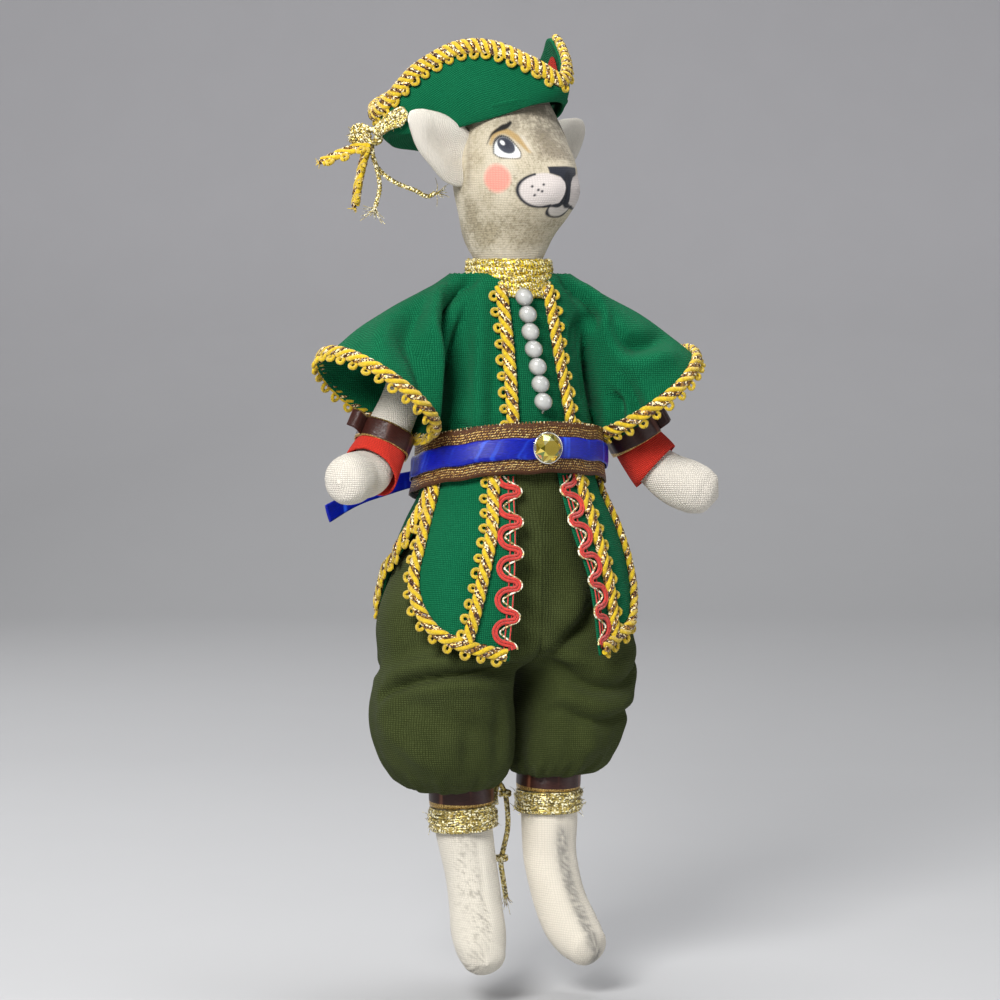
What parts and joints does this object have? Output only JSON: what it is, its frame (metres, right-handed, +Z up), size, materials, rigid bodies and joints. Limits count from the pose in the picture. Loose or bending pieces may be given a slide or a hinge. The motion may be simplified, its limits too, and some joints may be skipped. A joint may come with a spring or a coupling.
{
  "type": "marionette puppet",
  "caption": "Stuffed cloth animal puppet in a braided cocked hat, belted coat and baggy breeches, with a turning head and swinging arms and legs.",
  "frame": {"origin": "the hanging point at the nape, on the back of the neck at the height of the collar", "axes": "+Z up along the body, -Y the way the chest faces, +X to the puppet's own left"},
  "size_m": [0.0938, 0.0578, 0.2075],
  "materials": {
    "linen": "woven linen, stuffed",
    "painted_linen": "woven linen, tinted and hand painted",
    "green_cotton": "plain woven cotton",
    "olive_cotton": "plain woven cotton",
    "red_cotton": "plain woven cotton",
    "yellow_braid": "twisted picot braid with metallic strands",
    "red_braid": "looped cord braid with a gold cord",
    "brown_ribbon": "satin ribbon with gold threads",
    "blue_satin": "satin ribbon",
    "gold_cord": "metallic gold thread",
    "pearl": "pearl coating",
    "gem": "faceted, foil backed",
    "thread": "sewing thread"
  },
  "bodies": {
    "torso": {"torso_body": "linen", "coat_bodice": "green_cotton", "coat_skirt_front_right": "green_cotton", "coat_skirt_front_left": "green_cotton", "coat_skirt_back": "green_cotton", "collar_band": "yellow_braid", "coat_braid_right": "yellow_braid", "coat_braid_left": "yellow_braid", "pearl_1": "pearl", "pearl_2": "pearl", "pearl_3": "pearl", "pearl_4": "pearl", "pearl_5": "pearl", "pearl_6": "pearl", "pearl_7": "pearl", "pearl_thread": "thread", "belt_ribbon": "brown_ribbon", "belt_sash": "blue_satin", "sash_knot": "blue_satin", "sash_tail": "blue_satin", "belt_gem": "gem", "red_braid_right": "red_braid", "red_braid_left": "red_braid", "hem_braid_right": "yellow_braid", "hem_braid_left": "yellow_braid", "hem_braid_back": "yellow_braid", "breeches_seat": "olive_cotton", "hip_thread": "thread", "shoulder_thread": "thread"},
    "head": {"head": "painted_linen", "ear_right": "linen", "ear_left": "linen", "hat_crown": "green_cotton", "hat_brim": "green_cotton", "hat_braid": "yellow_braid", "hat_braid_tail_upper": "yellow_braid", "hat_braid_tail_lower": "yellow_braid", "hat_bow": "gold_cord", "hat_cord_tail_front": "gold_cord", "hat_cord_tail_down": "gold_cord"},
    "arm_right": {"arm_right": "linen", "cuff_right": "red_cotton", "wrist_ribbon_right": "brown_ribbon", "sleeve_right": "green_cotton", "sleeve_braid_right": "yellow_braid"},
    "arm_left": {"arm_left": "linen", "cuff_left": "red_cotton", "wrist_ribbon_left": "brown_ribbon", "sleeve_left": "green_cotton", "sleeve_braid_left": "yellow_braid"},
    "leg_right": {"leg_right": "linen", "breeches_leg_right": "olive_cotton", "boot_ribbon_right": "brown_ribbon", "boot_cord_right": "gold_cord", "boot_cord_tail": "gold_cord"},
    "leg_left": {"leg_left": "linen", "breeches_leg_left": "olive_cotton", "boot_ribbon_left": "brown_ribbon", "boot_cord_left": "gold_cord"}
  },
  "joints": [
    {"name": "neck_turn", "type": "hinge", "parent": "torso", "child": "head", "pos_m": [0, -0.0104, 0], "axis": [0, 0, 1], "range_deg": [-60, 30]},
    {"name": "shoulder_right", "type": "hinge", "parent": "torso", "child": "arm_right", "pos_m": [-0.022, -0.01, -0.0105], "axis": [-1, 0, 0], "range_deg": [-8, 60]},
    {"name": "shoulder_left", "type": "hinge", "parent": "torso", "child": "arm_left", "pos_m": [0.022, -0.01, -0.0105], "axis": [-1, 0, 0], "range_deg": [-8, 60]},
    {"name": "hip_right", "type": "hinge", "parent": "torso", "child": "leg_right", "pos_m": [-0.0112, -0.0104, -0.07], "axis": [-1, 0, 0], "range_deg": [-12, 11]},
    {"name": "hip_left", "type": "hinge", "parent": "torso", "child": "leg_left", "pos_m": [0.0112, -0.0104, -0.07], "axis": [-1, 0, 0], "range_deg": [-12, 11]}
  ]
}
